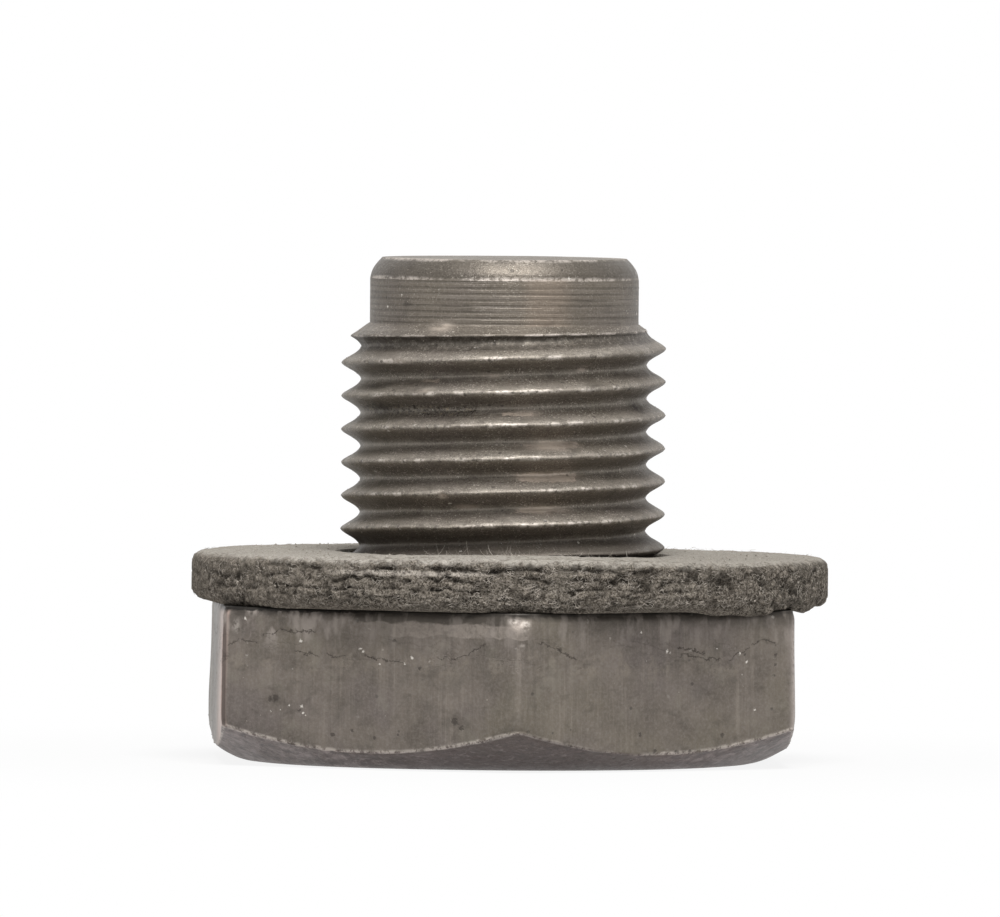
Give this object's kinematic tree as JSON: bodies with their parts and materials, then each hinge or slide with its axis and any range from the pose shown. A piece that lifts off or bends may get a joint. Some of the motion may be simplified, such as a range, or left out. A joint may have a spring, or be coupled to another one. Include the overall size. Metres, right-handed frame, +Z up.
{
  "type": "oil drain plug",
  "caption": "Hex head oil drain plug with a plain pilot tip, a fine right-hand thread and a worn fibre sealing gasket loose on its neck.",
  "frame": {"origin": "centre of the head's round outer face, on the ground", "axes": "+Z up the shank, from the head to the pilot tip; a corner of the hexagon points along -Y and two of its flats face -X and +X"},
  "size_m": [0.0244, 0.0252, 0.0193],
  "materials": {
    "steel": "worn bare steel, dulled brown grey, with bright scuffs on the thread crests and the chamfer's edge",
    "gasket_fibre": "crumbling pressed fibre, dark and pitted at the rim, with a paler dusty top"
  },
  "bodies": {
    "root": {"plug": "steel", "gasket": "gasket_fibre"}
  },
  "joints": []
}
